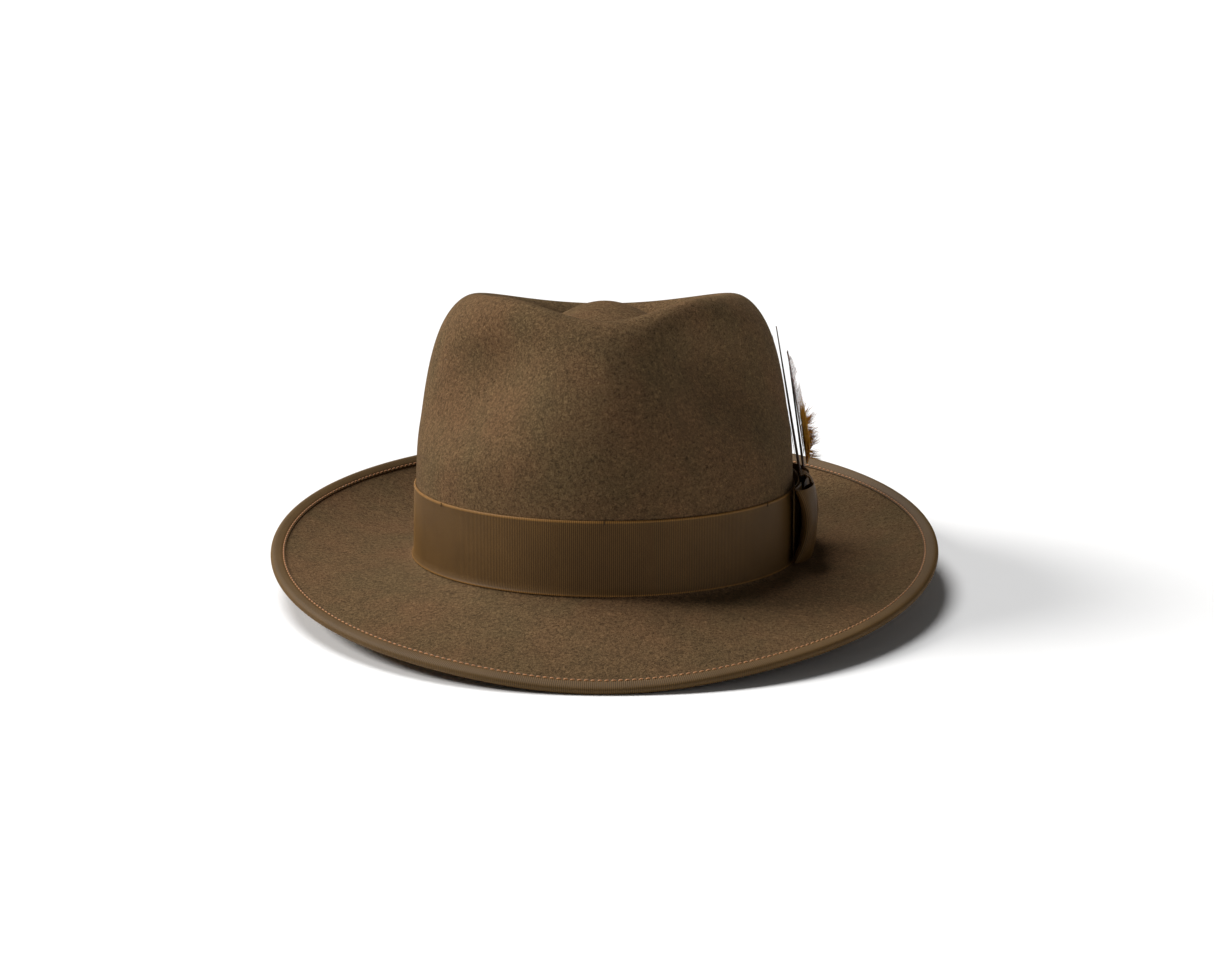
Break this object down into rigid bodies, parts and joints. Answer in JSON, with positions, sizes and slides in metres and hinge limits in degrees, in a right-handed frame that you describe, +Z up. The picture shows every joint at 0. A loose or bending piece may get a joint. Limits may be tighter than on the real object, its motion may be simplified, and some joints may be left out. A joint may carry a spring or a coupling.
{
  "type": "fedora hat",
  "caption": "Brown felt fedora with a teardrop crown pinched at the front, snap brim with bound edge, grosgrain ribbon and side bow, and a feather tucked in the bow.",
  "frame": {"origin": "on the surface that the hat rests on, under the middle of its bounding box", "axes": "+Z up, -Y to the front of the hat, +X to the wearer's left. The hat rests on the front of its brim and the back of its break, which tilts its brim line 5.5 degrees back"},
  "size_m": [0.304, 0.3294, 0.1382],
  "materials": {
    "felt": "matte brushed fur felt",
    "binding_ribbon": "ribbed grosgrain, soft sheen",
    "band_ribbon": "ribbed grosgrain, soft sheen",
    "binding_thread": "twisted thread",
    "dark_thread": "twisted thread",
    "sweatband_leather": "smooth tanned leather, satin",
    "sweatband_thread": "twisted thread",
    "reed_plastic": "translucent monofilament",
    "cotton_tape": "woven tape",
    "paper": "blank paper slip",
    "lining_satin": "satin weave",
    "clear_film": "clear soft film",
    "feather_shaft": "horn-like feather shaft",
    "dark_feather": "dark feather barbs",
    "rust_feather": "rust-brown feather barbs",
    "gold_hackle": "golden hackle fluff"
  },
  "bodies": {
    "hat": {"felt_body": "felt", "brim_binding": "binding_ribbon", "hat_band": "band_ribbon", "bow_base_panel": "band_ribbon", "bow_front_loop": "band_ribbon", "bow_rear_loop": "band_ribbon", "bow_knot": "band_ribbon", "binding_thread_top": "binding_thread", "binding_thread_bottom": "binding_thread", "band_tack_stitches": "dark_thread", "bow_tack_stitches": "dark_thread", "sweatband": "sweatband_leather", "sweatband_stitching": "sweatband_thread", "sweatband_reed": "reed_plastic", "sweatband_reed_tape": "cotton_tape", "sweatband_seam_tape": "cotton_tape", "sweatband_bow": "cotton_tape", "size_tag": "paper", "lining_side": "lining_satin", "lining_tip": "lining_satin", "lining_tip_piping": "lining_satin", "lining_tip_cover": "clear_film"},
    "feather": {"feather_stem": "feather_shaft", "feather_dark_vane": "dark_feather", "feather_rust_stem": "feather_shaft", "feather_rust_vane": "rust_feather", "feather_hackle": "gold_hackle", "feather_stem_wrap": "dark_thread"}
  },
  "joints": [
    {"name": "feather_slide", "type": "slide", "parent": "hat", "child": "feather", "axis": [-0.1603, 0.2672, 0.9502], "range_m": [0, 0.03]}
  ]
}
